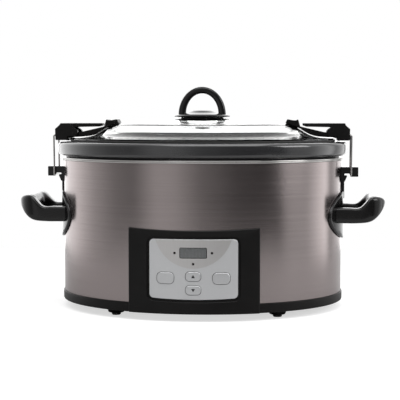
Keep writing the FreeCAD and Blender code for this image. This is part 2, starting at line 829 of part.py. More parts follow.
def latch_lever():
    """Channel over the tongue: a long top plate that the thumb lifts, and two cheeks on the hinge pin."""
    tail = lever_x + 5.4
    top, low = lever_top, lever_low
    chin = top - lever_plate
    side = [(lever_x - 18, chin), ((lever_x - 24.6, lever_z + 5), (lever_x - 23.5, lever_step)),
            (lever_x - 10.5, lever_step), (lever_x - 10.5, low), (tail - 1, low), (tail, low + 2),
            (tail, lever_z + 7.5), (lever_x + 1.5, lever_z + 10.8), (lever_x - 2.3, top),
            (lever_tip, top), (lever_tip, chin)]
    body = slab(side, -lever_half, lever_half)
    body = body.cut(box(lever_tip - 1, tail + 1, -tongue_half - 0.35, tongue_half + 0.35, low - 5, chin))
    taper = [(lever_tip - 5, 9.0), (lever_tip - 5, 30), (lever_x - 26, 30), (lever_x - 26, 14.5)]
    trim = plan_slab(taper, low - 10, top + 10)
    body = body.cut(trim).cut(trim.mirror(O, Vector(0, 1, 0)))
    body = body.cut(rod(lever_pin_r + 0.02, (lever_x, -40, lever_z), (lever_x, 40, lever_z)))
    body = body.cut(rod(bail_pin_r + run, (bail_x, -40, bail_z), (bail_x, 40, bail_z)))
    for sy in (-1, 1):
        mid = sy * bail_half
        body = body.cut(box(bail_x - leg_slot, tail + 5, mid - 1.7, mid + 1.7, low - 5, top + 5))
    return body


def bail_pin():
    return rod(bail_pin_r, (bail_x, -lever_half + 0.5, bail_z), (bail_x, lever_half - 0.5, bail_z))


def wire_bail():
    """Two eyes on the bail pin, two cranked legs and the crossbar under the hook."""
    eye_r = bail_pin_r + 0.08 + wire_r
    knee = (bail_x + 10.6, bail_z - 8.6)
    parts = [rod(wire_r, (bar_x, -bail_half, bar_z), (bar_x, bail_half, bar_z))]
    for y in (-bail_half, bail_half):
        start = (bail_x + eye_r * 0.8, y, bail_z - eye_r * 0.6)
        bend = (knee[0], y, knee[1])
        end = (bar_x, y, bar_z)
        parts += [Part.makeTorus(eye_r, wire_r, Vector(bail_x, y, bail_z), Vector(0, 1, 0)),
                  rod(wire_r, start, bend), Part.makeSphere(wire_r, Vector(*bend)),
                  rod(wire_r, bend, end), Part.makeSphere(wire_r, Vector(*end))]
    return fused(parts)


# the whole cooker
def all_parts():
    parts = {
        "outer_wrap": outer_wrap(), "top_trim_ring": top_trim_ring(), "heating_pan": heating_pan(),
        "base_skirt": base_skirt(), "bottom_plate": bottom_plate(), "bottom_screws": bottom_screws(),
        "rubber_feet": rubber_feet(), "heater_band": heater_band(),
        "insulation_blanket": insulation_blanket(), "pan_brackets": pan_brackets(),
        "temperature_sensor": temperature_sensor(),
        "sensor_spring": sensor_spring(), "sensor_cup": sensor_cup(), "thermal_fuse": thermal_fuse(),
        "power_board": power_board(), "power_relay": power_relay(), "transformer": transformer(),
        "cord_gland": cord_gland(), "control_surround": control_surround(),
        "control_faceplate": control_faceplate(), "display_accent": display_accent(),
        "display_window": display_window(), "display_module": display_module(),
        "indicator_lenses": indicator_lenses(), "control_board": control_board(),
        "board_screws": board_screws(), "tact_switches": tact_switches(), "handle_screws": handle_screws(),
        "stoneware_crock": stoneware_crock(), "lid_glass": lid_glass(), "lid_gasket": lid_gasket(),
        "lid_handle": lid_handle(), "lid_handle_seal": lid_handle_seal(),
        "lid_handle_washer": lid_handle_washer(), "lid_handle_screw": lid_handle_screw(),
    }
    for name in button_spots:
        parts[name] = button(name)
    sided = {"handle": side_handle(), "catch_plate": catch_plate(), "latch_bracket": latch_bracket(),
             "latch_pad": latch_pad(), "latch_screw": latch_screw(), "lever_pin": lever_pin(),
             "latch_lever": latch_lever(), "bail_pin": bail_pin(), "bail": wire_bail()}
    for name, shape in sided.items():
        parts["right_" + name], parts["left_" + name] = both(shape)
    return parts


os.makedirs("parts", exist_ok=True)
for name, shape in all_parts().items():
    if not shape.isValid():
        print("not valid:", name)
    print(f"{name:22s} solids {len(shape.Solids):2d}  volume {shape.Volume / 1000:9.2f} cm3")
    shape.exportStep(f"parts/{name}.step")
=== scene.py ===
import bpy
import bmesh
import json
import math
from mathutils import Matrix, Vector


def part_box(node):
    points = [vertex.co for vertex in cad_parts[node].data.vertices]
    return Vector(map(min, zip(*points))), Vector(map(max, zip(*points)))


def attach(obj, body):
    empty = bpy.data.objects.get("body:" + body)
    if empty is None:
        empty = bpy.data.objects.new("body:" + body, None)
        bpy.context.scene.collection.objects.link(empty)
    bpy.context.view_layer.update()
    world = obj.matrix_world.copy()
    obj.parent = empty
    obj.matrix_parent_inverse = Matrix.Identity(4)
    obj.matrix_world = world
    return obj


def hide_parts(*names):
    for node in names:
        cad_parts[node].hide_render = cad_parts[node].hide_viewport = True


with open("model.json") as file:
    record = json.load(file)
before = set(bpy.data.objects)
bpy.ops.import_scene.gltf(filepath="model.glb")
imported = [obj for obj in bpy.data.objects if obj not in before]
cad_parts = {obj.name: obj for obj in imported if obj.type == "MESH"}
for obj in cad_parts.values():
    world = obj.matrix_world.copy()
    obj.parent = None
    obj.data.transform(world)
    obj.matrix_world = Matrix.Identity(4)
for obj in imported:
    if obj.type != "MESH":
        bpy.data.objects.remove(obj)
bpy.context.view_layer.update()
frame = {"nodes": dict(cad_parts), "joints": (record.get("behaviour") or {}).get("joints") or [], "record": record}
mm = 0.001
slotOf = {part["node"]: part["material_slot"] for part in frame["record"]["subparts"]}


def boxMm(node):
    low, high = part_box(node)
    return low / mm, high / mm


wrapLow, wrapHigh = boxMm("outer_wrap")
ovalHalf = wrapHigh.x                       # half width of the steel body
ovalRatio = wrapHigh.y / wrapHigh.x         # every oval piece is this much shallower than it is wide


# outlines and meshes
def filleted(corners, closed=True, steps=6):
    # corners are (across, up, radius); the radius rounds that corner
    line = []
    count = len(corners)
    for i, (x, z, radius) in enumerate(corners):
        here = Vector((x, z))
        if radius <= 0 or (not closed and i in (0, count - 1)):
            line.append((x, z))
            continue
        before = (Vector(corners[i - 1][:2]) - here)
        after = (Vector(corners[(i + 1) % count][:2]) - here)
        reach = min(before.length, after.length)
        before.normalize()
        after.normalize()
        half = before.angle(after) / 2
        if half > math.pi / 2 - 0.02:
            line.append((x, z))
            continue
        back = min(radius / math.tan(half), reach * 0.49)
        trueRadius = back * math.tan(half)
        middle = here + (before + after).normalized() * (trueRadius / math.sin(half))
        start = here + before * back - middle
        sweep = math.pi - 2 * half
        turn = 1 if before.x * after.y - before.y * after.x < 0 else -1
        for k in range(steps + 1):
            angle = turn * sweep * k / steps
            spot = Vector((start.x * math.cos(angle) - start.y * math.sin(angle),
                           start.x * math.sin(angle) + start.y * math.cos(angle)))
            line.append(tuple(middle + spot))
    return line


def finishMesh(name, bm, finish, body, stands=(), sharp=38, bevel=0, side=1):
    for vert in bm.verts:
        vert.co = Vector((vert.co.x * side, vert.co.y, vert.co.z)) * mm
    bmesh.ops.remove_doubles(bm, verts=bm.verts, dist=1e-6)
    bmesh.ops.recalc_face_normals(bm, faces=bm.faces)
    for face in bm.faces:
        face.smooth = True
    for edge in bm.edges:
        edge.smooth = not (len(edge.link_faces) == 2 and edge.calc_face_angle(0) > math.radians(sharp))
    mesh = bpy.data.meshes.new(name)
    bm.to_mesh(mesh)
    bm.free()
    piece = bpy.data.objects.new(name, mesh)
    bpy.context.scene.collection.objects.link(piece)
    if bevel:
        rounding = piece.modifiers.new("edges", "BEVEL")
        rounding.width = bevel * mm
        rounding.segments = 3
        rounding.limit_method = "ANGLE"
        rounding.angle_limit = math.radians(sharp)
        rounding.harden_normals = True
    mesh.materials.append(finish)
    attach(piece, body)
    if stands:
        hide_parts(*stands)
    return piece


def bridge(bm, first, second, closed=True):
    count = len(first)
    for i in range(count if closed else count - 1):
        j = (i + 1) % count
        corners = []
        for vert in (first[i], first[j], second[j], second[i]):
            if vert not in corners:
                corners.append(vert)
        if len(corners) > 2:
            bm.faces.new(corners)


def turnOval(bm, profile, ratio=ovalRatio, steps=192, closed=True, middle=(0, 0)):
    # turns a profile of (half width, height) about the upright axis
    rings = []
    for x, z in profile:
        if x < 1e-6:
            rings.append([bm.verts.new((middle[0], middle[1], z))] * steps)
            continue
        rings.append([bm.verts.new((middle[0] + x * math.cos(2 * math.pi * i / steps),
                                    middle[1] + x * ratio * math.sin(2 * math.pi * i / steps), z))
                      for i in range(steps)])
    pairs = list(zip(rings, rings[1:])) + ([(rings[-1], rings[0])] if closed else [])
    for first, second in pairs:
        if first[0] is first[1] and second[0] is second[1]:
            continue
        bridge(bm, first, second)


def drawOut(bm, outline, low, high):
    # an outline in (x, z) drawn out along Y, closed at both ends
    near = [bm.verts.new((x, low, z)) for x, z in outline]
    far = [bm.verts.new((x, high, z)) for x, z in outline]
    bridge(bm, near, far)
    bm.faces.new(near)
    bm.faces.new(far)


def alongPath(bm, rings):
    # skins a row of sections and closes both ends
    rows = [[bm.verts.new(spot) for spot in ring] for ring in rings]
    for first, second in zip(rows, rows[1:]):
        bridge(bm, first, second)
    bm.faces.new(rows[0])
    bm.faces.new(rows[-1])


def wrapOnFront(bm, cutStep=3.0):
    # bends a piece drawn flat, as (x, depth outside the steel, z), round the front of the oval
    reach = max(abs(vert.co.x) for vert in bm.verts)
    cuts = int(reach / cutStep)
    for k in range(-cuts, cuts + 1):
        bmesh.ops.bisect_plane(bm, geom=bm.verts[:] + bm.edges[:] + bm.faces[:], dist=1e-4,
                               plane_co=(k * cutStep, 0, 0), plane_no=(1, 0, 0))
    for vert in bm.verts:
        half = ovalHalf + vert.co.y
        vert.co.y = -half * ovalRatio * math.sqrt(max(0, 1 - (vert.co.x / half) ** 2))


def facePiece(layers, holes=(), holeDepth=0):
    # layers are (outline, depth); the last one is filled, apart from the holes
    bm = bmesh.new()
    loops = [[bm.verts.new((x, depth, z)) for x, z in outline] for outline, depth in layers]
    for first, second in zip(loops, loops[1:]):
        bridge(bm, first, second)
    rims = [loops[-1]]
    for outline in holes:
        rim = [bm.verts.new((x, layers[-1][1], z)) for x, z in outline]
        floor = [bm.verts.new((x, holeDepth, z)) for x, z in outline]
        bridge(bm, rim, floor)
        rims.append(rim)
    edges = []
    for rim in rims:
        for a, b in zip(rim, rim[1:] + rim[:1]):
            edges.append(bm.edges.get((a, b)) or bm.edges.new((a, b)))
    bmesh.ops.triangle_fill(bm, use_beauty=True, use_dissolve=False, edges=edges)
    wrapOnFront(bm)
    return bm


def roundedPlate(half, low, high, radius, bow=0.0, dip=0.0, grow=0.0, middle=0.0, spans=12):
    # a rounded rectangle whose lower edge bows down and whose upper edge dips in the middle
    half, low, high, radius = half + grow, low - grow, high + grow, max(0.2, radius + grow)
    line = []
    corners = [(half - radius, low + radius, -90), (half - radius, high - radius, 0),
               (-half + radius, high - radius, 90), (-half + radius, low + radius, 180)]
    flat = half - radius
    for k in range(1, spans):
        x = -flat + 2 * flat * k / spans
        line.append((x, low - bow * (1 - (x / half) ** 2)))
    for x, z, start in corners:
        for k in range(7):
            angle = math.radians(start + 15 * k)
            shift = -bow * (1 - (x / half) ** 2) if z < (low + high) / 2 else -dip * (1 - (x / half) ** 2)
            line.append((x + radius * math.cos(angle), z + radius * math.sin(angle) + shift))
        if start == 0:
            for k in range(1, spans):
                across = flat - 2 * flat * k / spans
                line.append((across, high - dip * (1 - (across / half) ** 2)))
    return [(x + middle, z) for x, z in line]


# finishes
class Value:                                # a node's output that can stand in a sum
    def __init__(self, finish, socket):
        self.finish = finish
        self.socket = socket

    def __add__(self, other):
        return self.finish.maths("ADD", self, other)

    def __radd__(self, other):
        return self.finish.maths("ADD", other, self)

    def __rsub__(self, other):
        return self.finish.maths("SUBTRACT", other, self)

    def __mul__(self, other):
        return self.finish.maths("MULTIPLY", self, other)

    def __truediv__(self, other):
        return self.finish.maths("DIVIDE", self, other)


class Finish:                               # the nodes of one material, or of the room
    def __init__(self, name=None, owner=None):
        self.material = owner or bpy.data.materials.new(name)
        self.material.use_nodes = True
        self.tree = self.material.node_tree
        self.tree.nodes.clear()

    def node(self, kind, settings=None, values=None, output=0):
        made = self.tree.nodes.new(kind)
        for key, value in (settings or {}).items():
            if key == "stops":
                while len(made.color_ramp.elements) < len(value):
                    made.color_ramp.elements.new(0.5)
                for element, (place, shade) in zip(made.color_ramp.elements, value):
                    element.position = place
                    element.color = shade
            else:
                setattr(made, key, value)
        for key, value in (values or {}).items():
            if isinstance(value, Value):
                self.tree.links.new(value.socket, made.inputs[key])
            else:
                made.inputs[key].default_value = value
        return Value(self, made.outputs[output])

    def maths(self, operation, first, second):
        return self.node("ShaderNodeMath", {"operation": operation}, {0: first, 1: second})

    def places(self, scale=(1, 1, 1)):
        spot = self.node("ShaderNodeTexCoord", output="Object")
        return self.node("ShaderNodeMapping", None, {"Vector": spot, "Scale": scale})

    def noise(self, scale, stretch=(1, 1, 1), detail=2.0, rough=0.5):
        return self.node("ShaderNodeTexNoise", None,
                         {"Vector": self.places(stretch), "Scale": scale, "Detail": detail,
                          "Roughness": rough})

    def blend(self, mask, first, second):
        return self.node("ShaderNodeMix", {"data_type": "RGBA"}, {0: mask, 6: first, 7: second}, output=2)

    def relief(self, height, depth, strength=1.0):
        return self.node("ShaderNodeBump", None, {"Height": height, "Distance": depth * mm,
                                                  "Strength": strength})

    def surface(self, values):
        shader = self.node("ShaderNodeBsdfPrincipled", None, values)
        self.tree.links.new(shader.socket, self.tree.nodes.new("ShaderNodeOutputMaterial").inputs["Surface"])
        return self.material


def tone(red, green, blue):
    return (red, green, blue, 1.0)


brushed = {"dark": tone(0.25, 0.215, 0.212), "light": tone(0.38, 0.335, 0.332), "grainAcross": 1500,
           "gloss": 0.13,
           "stretch": 0.6, "turn": 0.25}


def brushedSteel(name, dark, light, stretch, gloss, anisotropic=0.0, turn=0.0):
    finish = Finish(name)
    grain = finish.noise(1.0, stretch, 3.0, 0.65)
    fine = finish.noise(1.0, tuple(2.7 * s for s in stretch), 1.0)
    cloud = finish.noise(14.0, (1, 1, 1), 3.0)
    mask = grain * 0.7 + cloud * 0.3
    return finish.surface({"Base Color": finish.blend(mask, dark, light), "Metallic": 1.0,
                           "Roughness": gloss + grain * 0.12 + cloud * 0.05, "Anisotropic": anisotropic,
                           "Anisotropic Rotation": turn,
                           "Normal": finish.relief(grain * 0.6 + fine * 0.4, 0.012, 0.5)})


def polished(name, shade, gloss):
    finish = Finish(name)
    smear = finish.noise(60.0, (1, 1, 1), 4.0)
    return finish.surface({"Base Color": finish.blend(smear, shade, tone(*[c * 0.86 for c in shade[:3]])),
                           "Metallic": 1.0, "Roughness": gloss + smear * 0.08,
                           "Normal": finish.relief(smear, 0.01, 0.3)})


def moulded(name, shade, gloss, texture=0.02, shine=0.5):
    finish = Finish(name)
    pebble = finish.noise(1700.0, (1, 1, 1), 2.0)
    wear = finish.noise(35.0, (1, 1, 1), 5.0, 0.6)
    lighter = tone(*[c * 1.5 + 0.004 for c in shade[:3]])
    return finish.surface({"Base Color": finish.blend(wear, shade, lighter),
                           "Roughness": gloss + wear * 0.12 + pebble * 0.05, "Specular IOR Level": shine,
                           "Normal": finish.relief(pebble, texture, 0.6)})


def glazed():
    finish = Finish("dark glazed stoneware")
    cloud = finish.noise(22.0, (1, 1, 1), 4.0)
    speck = finish.noise(420.0, (1, 1, 1), 2.0)
    mask = cloud * 0.65 + speck * 0.35
    return finish.surface({"Base Color": finish.blend(mask, tone(0.010, 0.010, 0.011),
                                                      tone(0.032, 0.032, 0.034)),
                           "Roughness": 0.14 + cloud * 0.10, "Coat Weight": 0.6, "Coat Roughness": 0.05,
                           "Normal": finish.relief(finish.noise(30.0, (1, 1, 1), 3.0), 0.12, 0.35)})


def clearGlass(name, tint):
    finish = Finish(name)
    smear = finish.noise(18.0, (1, 1, 1), 4.0)
    return finish.surface({"Base Color": tint, "Roughness": 0.0 + smear * 0.02, "Transmission Weight": 1.0,
                           "IOR": 1.46})


def liquidCrystal():
    finish = Finish("unlit liquid crystal")
    columns = finish.node("ShaderNodeTexWave", {"wave_type": "BANDS", "bands_direction": "X"},
                          {"Vector": finish.places(), "Scale": 190.0, "Distortion": 0.0})
    rows = finish.node("ShaderNodeTexWave", {"wave_type": "BANDS", "bands_direction": "Z"},
                       {"Vector": finish.places(), "Scale": 320.0, "Distortion": 0.0})
    mask = columns * 0.7 + rows * 0.3
    return finish.surface({"Base Color": finish.blend(mask, tone(0.17, 0.175, 0.18),
                                                      tone(0.29, 0.295, 0.30)),
                           "Roughness": 0.30 + rows * 0.05})


def woolly():
    finish = Finish("glass wool")
    fibre = finish.noise(900.0, (1, 1, 0.25), 4.0)
    return finish.surface({"Base Color": finish.blend(fibre, tone(0.70, 0.66, 0.50),
                                                      tone(0.92, 0.90, 0.80)),
                           "Roughness": 0.9 + fibre * 0.1, "Normal": finish.relief(fibre, 0.6)})


def boardGreen():
    finish = Finish("solder resist")
    tracks = finish.node("ShaderNodeTexVoronoi", {"feature": "DISTANCE_TO_EDGE"},
                         {"Vector": finish.places(), "Scale": 260.0})
    copper = finish.node("ShaderNodeMath", {"operation": "LESS_THAN"}, {0: tracks, 1: 0.07})
    return finish.surface({"Base Color": finish.blend(copper, tone(0.01, 0.09, 0.03),
                                                      tone(0.03, 0.20, 0.07)),
                           "Roughness": 0.42 - copper * 0.1, "Normal": finish.relief(copper, 0.04)})


finishes = {
    "dark_brushed_steel": brushedSteel("dark brushed steel", brushed["dark"], brushed["light"],
                                       (5, 5, brushed["grainAcross"]), brushed["gloss"], brushed["stretch"],
                                       brushed["turn"]),
    "bright_trim": polished("polished trim", tone(0.50, 0.49, 0.48), 0.08),
    "aluminium_pan": brushedSteel("drawn aluminium", tone(0.55, 0.55, 0.55), tone(0.75, 0.75, 0.75),
                                  (20, 20, 500), 0.35),
    "black_plastic": moulded("black moulded plastic", tone(0.0030, 0.0027, 0.0027), 0.30, 0.012, 0.16),
    "galvanised_sheet": brushedSteel("galvanised sheet", tone(0.40, 0.41, 0.42), tone(0.62, 0.63, 0.64),
                                     (60, 60, 60), 0.38),
    "screw_steel": brushedSteel("zinc plated steel", tone(0.45, 0.45, 0.44), tone(0.66, 0.66, 0.65),
                                (300, 300, 300), 0.28),
    "spring_wire": polished("spring wire", tone(0.50, 0.49, 0.48), 0.24),
    "black_rubber": moulded("black rubber", tone(0.018, 0.018, 0.018), 0.62, 0.05),
    "heater_mica": moulded("mica and foil", tone(0.42, 0.36, 0.24), 0.5, 0.06),
    "glass_wool": woolly(),
    "circuit_board": boardGreen(),
    "component_black": moulded("component case", tone(0.02, 0.02, 0.022), 0.45, 0.02),
    "transformer_iron": brushedSteel("iron laminations", tone(0.12, 0.11, 0.10), tone(0.25, 0.24, 0.22),
                                     (20, 20, 1800), 0.5),
    "silver_panel": brushedSteel("silver lacquer", tone(0.60, 0.605, 0.615), tone(0.70, 0.705, 0.715),
                                 (500, 500, 500), 0.45),
    "brushed_accent": brushedSteel("upright brushed accent", tone(0.50, 0.49, 0.485),
                                   tone(0.66, 0.65, 0.645),
                                   (2400, 2400, 20), 0.36),
    "display_glass": clearGlass("display cover", tone(0.92, 0.94, 0.93)),
    "display_grey": liquidCrystal(),
    "lamp_dark": moulded("unlit lamp", tone(0.012, 0.008, 0.008), 0.15, 0.005),
    "silver_button": brushedSteel("silver button lacquer", tone(0.56, 0.565, 0.575),
                                  tone(0.66, 0.665, 0.675),
                                  (500, 500, 500), 0.40),
    "glazed_stoneware": glazed(),
    "clear_glass": clearGlass("tempered glass", tone(0.985, 0.995, 0.99)),
}
glossBlack = moulded("glossy black plastic", tone(0.0028, 0.0026, 0.0026), 0.08, 0.004, 0.36)
printInk = moulded("black print", tone(0.012, 0.012, 0.013), 0.5, 0.005)
for node, shown in frame["nodes"].items():
    shown.data.materials.clear()
    shown.data.materials.append(finishes[slotOf[node]])
print("finishes ready")


# housing
trimLow, trimHigh = boxMm("top_trim_ring")
skirtHigh = boxMm("base_skirt")[1]
feetHigh = boxMm("rubber_feet")[1]
surroundLow, surroundHigh = boxMm("control_surround")
steelBody = {"wall": 1.0, "openHalf": surroundHigh.x - 6.0, "openTop": surroundHigh.z - 7.0}


def makeSteelBody():
    bm = bmesh.new()
    low, high, wall = wrapLow.z, wrapHigh.z, steelBody["wall"]
    profile = filleted([(ovalHalf - wall, low, 0), (ovalHalf, low, 0.4), (ovalHalf, high, 0.2),
                        (ovalHalf - wall, high, 0)])
    turnOval(bm, profile, steps=288)
    cuts = [((steelBody["openHalf"], 0, 0), (1, 0, 0)), ((-steelBody["openHalf"], 0, 0), (1, 0, 0)),
            ((0, 0, steelBody["openTop"]), (0, 0, 1)), ((0, 0, 0), (0, 1, 0))]
    for spot, normal in cuts:
        bmesh.ops.bisect_plane(bm, geom=bm.verts[:] + bm.edges[:] + bm.faces[:], dist=1e-4, plane_co=spot,
                               plane_no=normal)
    inside = [face for face in bm.faces if face.calc_center_median().y < 0
              and abs(face.calc_center_median().x) < steelBody["openHalf"]
              and face.calc_center_median().z < steelBody["openTop"]]
    bmesh.ops.delete(bm, geom=inside, context="FACES")
    finishMesh("steelBody", bm, finishes["dark_brushed_steel"], "housing", ["outer_wrap"])


trimRing = {"bead": 0.9, "inner": 6.0, "set": 1.1}


def makeTrimRing():
    # two thin beads with a groove between them
    bm = bmesh.new()
    out, low, high = trimHigh.x, trimLow.z, trimHigh.z
    inner, bead, middle = ovalHalf - trimRing["inner"], trimRing["bead"], (trimLow.z + trimHigh.z) / 2
    profile = filleted([(inner, low + 0.3, 0), (out - trimRing["set"], low, bead),
                        (out - 0.3, middle - 0.35, bead),
                        (out - 1.8, middle, 0.2), (out, middle + 0.3, bead), (out, high, bead),
                        (ovalHalf - 1.5, high, 0.8),
                        (ovalHalf - 2.5, low + 2, 0), (inner, low + 2, 0)], steps=6)
    turnOval(bm, profile, steps=288)
    finishMesh("trimRing", bm, finishes["bright_trim"], "housing", ["top_trim_ring"])


baseSkirt = {"foot": 2.4, "podWide": 12.0, "podNarrow": 9.5, "lip": 2.5}


def makeBaseSkirt():
    bm = bmesh.new()
    out, low, top = skirtHigh.x, feetHigh.z + 1.0, wrapLow.z - 0.25
    inner = boxMm("bottom_plate")[1].x + 0.25
    profile = filleted([(inner, low, 0), (out - 0.2, low, baseSkirt["foot"]), (out, low + 5, 2),
                        (out, top, 0.7),
                        (ovalHalf - 1.3, top, 0), (ovalHalf - 1.3, top + 5, 0),
                        (ovalHalf - 3.8, top + 5, 0),
                        (ovalHalf - 3.8, low + baseSkirt["lip"], 0), (inner, low + baseSkirt["lip"], 0)])
    turnOval(bm, profile, steps=288)
    for sx in (-1, 1):
        for sy in (-1, 1):
            middle = (sx * (feetHigh.x - 5.5), sy * (feetHigh.y - 5.5))
            pod = filleted([(5.6, 3.1, 0), (baseSkirt["podNarrow"], 3.1, 2.0),
                            (baseSkirt["podWide"], low + 1.5, 0),
                            (5.6, low + 1.5, 0)])
            turnOval(bm, pod, 1.0, 40, middle=middle)
    finishMesh("baseSkirt", bm, finishes["black_plastic"], "housing", ["base_skirt"])


makeSteelBody()
makeTrimRing()
makeBaseSkirt()
print("housing ready")

# control panel
faceLow, faceHigh = boxMm("control_faceplate")
windowLow, windowHigh = boxMm("display_window")
panel = {"corner": 5.0, "bow": 1.7, "dip": 2.5, "pocket": 3.2, "face": 0.8, "slope": 1.2}
faceBottom = faceLow.z + panel["bow"]


def plateOutline(grow=0.0):
    return roundedPlate(faceHigh.x, faceBottom, faceHigh.z, panel["corner"], panel["bow"], 0, grow,
                        spans=20)


def makeSurround():
    low, top, rim = surroundLow.z, surroundHigh.z, surroundHigh.x

    def outside(grow):
        return roundedPlate(rim, low, top, 0.9, 0, panel["dip"], grow, spans=20)

    proud = 3.0
    layers = [(outside(0), -0.5), (outside(0), proud - 0.8), (outside(-0.8), proud), (outside(-2.4), proud),
              (plateOutline(panel["pocket"] + 0.6), panel["slope"]),
              (plateOutline(panel["pocket"]), panel["slope"] - 0.5),
              (plateOutline(panel["pocket"]), -0.9)]
    bm = facePiece(layers)
    finishMesh("panelSurround", bm, finishes["black_plastic"], "housing", ["control_surround"],
               20)


def buttonOutline(node, grow=0.0):
    half, tall = buttonSizes[node]
    middle = buttonMiddle(node)
    radius = min(half, tall) * 0.8
    return roundedPlate(half, middle[1] - tall, middle[1] + tall, radius, 0, 0, grow, middle[0], spans=4)


def buttonMiddle(node):
    low, high = boxMm(node)
    return (low.x + high.x) / 2, (low.z + high.z) / 2


buttonSizes = {"select_button": (10.2, 6.7), "off_button": (10.2, 6.7), "timer_up_button": (9.0, 5.4),
               "timer_down_button": (9.0, 5.4)}
buttonShape = {"gap": 0.55, "rise": 1.45, "mark": 2.7}


def displayOutline(grow=0.0):
    return roundedPlate(windowHigh.x, windowLow.z, windowHigh.z, 1.2, grow=grow, spans=4)


def lampOutline(x, z, radius):
    return [(x + radius * math.cos(2 * math.pi * k / 20),
             z + radius * math.sin(2 * math.pi * k / 20)) for k in range(20)]


lampSpots = [(-22.0, 81.4), (22.0, 81.4), (0.0, 68.5)]
lampSize = 1.6


def makeFacePlate():
    holes = [buttonOutline(node, buttonShape["gap"]) for node in buttonSizes]
    holes += [displayOutline(0.5)] + [lampOutline(x, z, lampSize) for x, z in lampSpots]
    layers = [(plateOutline(0), -0.9), (plateOutline(0), panel["face"] - 0.35),
              (plateOutline(-0.35), panel["face"])]
    bm = facePiece(layers, holes, -0.8)
    finishMesh("facePlate", bm, finishes["silver_panel"], "housing", ["control_faceplate"],
               30)


accent = {"depth": 34.2, "half": 45.0, "edge": 0.9, "rise": 0.32}


def makeAccent():
    radius = (accent["half"] ** 2 + accent["depth"] ** 2) / (2 * accent["depth"])
    middle = faceHigh.z + radius - accent["depth"]
    top = faceHigh.z - accent["edge"]
    start = math.asin((top - middle) / radius)
    line = []
    for k in range(61):
        angle = math.pi - start + (math.pi + 2 * start) * k / 60
        line.append((radius * math.cos(angle), middle + radius * math.sin(angle)))
    holes = [displayOutline(0.5)] + [lampOutline(x, z, lampSize) for x, z in lampSpots]
    layers = [(line, panel["face"] + 0.02), (line, panel["face"] + accent["rise"])]
    bm = facePiece(layers, holes, panel["face"])
    finishMesh("displayAccent", bm, finishes["brushed_accent"], "housing", ["display_accent"],
               30)


def makeDisplay():
    bm = facePiece([(displayOutline(-0.3), -0.7), (displayOutline(-0.3), 0.35),
                    (displayOutline(-0.5), 0.45)])
    finishMesh("displayCrystal", bm, finishes["display_grey"], "housing", ["display_module"],
               30)
    bm = facePiece([(displayOutline(0), 0.6), (displayOutline(0), 0.85), (displayOutline(-0.2), 0.95)])
    finishMesh("displayCover", bm, finishes["display_glass"], "housing", ["display_window"],
               30)


def makeButtons():
    for node in buttonSizes:
        rise = panel["face"] + buttonShape["rise"]
        layers = [(buttonOutline(node, 0), -0.6), (buttonOutline(node, 0), rise - 0.7),
                  (buttonOutline(node, -0.25), rise - 0.3),
                  (buttonOutline(node, -0.8), rise - 0.05), (buttonOutline(node, -1.8), rise)]
        bm = facePiece(layers)
        name = node.replace("_button", "Key").replace("timer_", "timer")
        finishMesh(name, bm, finishes["silver_button"], node, [node], 60)
        if "timer" in node:
            x, z = buttonMiddle(node)
            up = 1 if "up" in node else -1
            size = buttonShape["mark"]
            mark = filleted([(x - size * 0.85, z - up * size * 0.65, 0.3),
                             (x + size * 0.85, z - up * size * 0.65, 0.3),
                             (x, z + up * size * 0.8, 0.3)], steps=3)
            bm = facePiece([(mark, rise - 0.1), (mark, rise + 0.05)])
            finishMesh(name + "Mark", bm, printInk, node)


makeSurround()
makeFacePlate()
makeAccent()
makeDisplay()
makeButtons()
print("control panel ready")

# crock and lid
crockLow, crockHigh = boxMm("stoneware_crock")
glassLow, glassHigh = boxMm("lid_glass")
crock = {"wall": 8.0, "rimHeight": 17.5, "foot": 149.0, "mouth": 166.0}


def makeCrock():
    bm = bmesh.new()
    out, top, low = crockHigh.x, crockHigh.z, crockLow.z
    rimLow = top - crock["rimHeight"]
    inside = crock["mouth"] - crock["wall"]
    profile = filleted([(0, low, 0), (crock["foot"] - 2, low, 14), (crock["foot"] + 2, low + 24, 8),
                        (crock["mouth"], rimLow - 3, 1), (ovalHalf - 3, rimLow - 2.8, 0.5),
                        (ovalHalf - 2, rimLow, 0.8),
                        (out - 1.0, rimLow, 4.5), (out, rimLow + 8, 6), (out - 0.3, top - 0.8, 7.0),
                        (out - 14, top, 3),
                        (inside, top, 5), (inside - 9, low + 32, 18), (inside - 24, low + 10, 16),
                        (0, low + 10, 0)], closed=False, steps=8)
    turnOval(bm, profile, steps=256, closed=False)
    finishMesh("crockPot", bm, finishes["glazed_stoneware"], "crock", ["stoneware_crock"],
               50)


glassShape = {"wall": 3.2, "share": [(1.0, 0.0), (0.93, 0.015), (0.87, 0.055), (0.82, 0.145), (0.778, 0.29),
                                     (0.7365, 0.455),
                                     (0.70, 0.575), (0.66, 0.67), (0.60, 0.747), (0.51, 0.82),
                                     (0.36, 0.914),
                                     (0.17, 0.98), (0.06, 0.997), (0.0, 1.0)]}


def smoothLine(points, steps=5):
    line = []
    for i in range(len(points) - 1):
        a, b, c, d = [Vector(points[max(0, min(len(points) - 1, i + k))]) for k in (-1, 0, 1, 2)]
        for k in range(steps):
            t = k / steps
            spot = 0.5 * (2 * b + (c - a) * t + (2 * a - 5 * b + 4 * c - d) * t * t
                          + (3 * b - a - 3 * c + d) * t ** 3)
            line.append(tuple(spot))
    line.append(points[-1])
    return line


def glassLine():
    # the top of the glass, from its edge to the middle
    edge, top = glassLow.z + glassShape["wall"], glassHigh.z
    return smoothLine([(glassHigh.x * r, edge + (top - edge) * h) for r, h in glassShape["share"]])


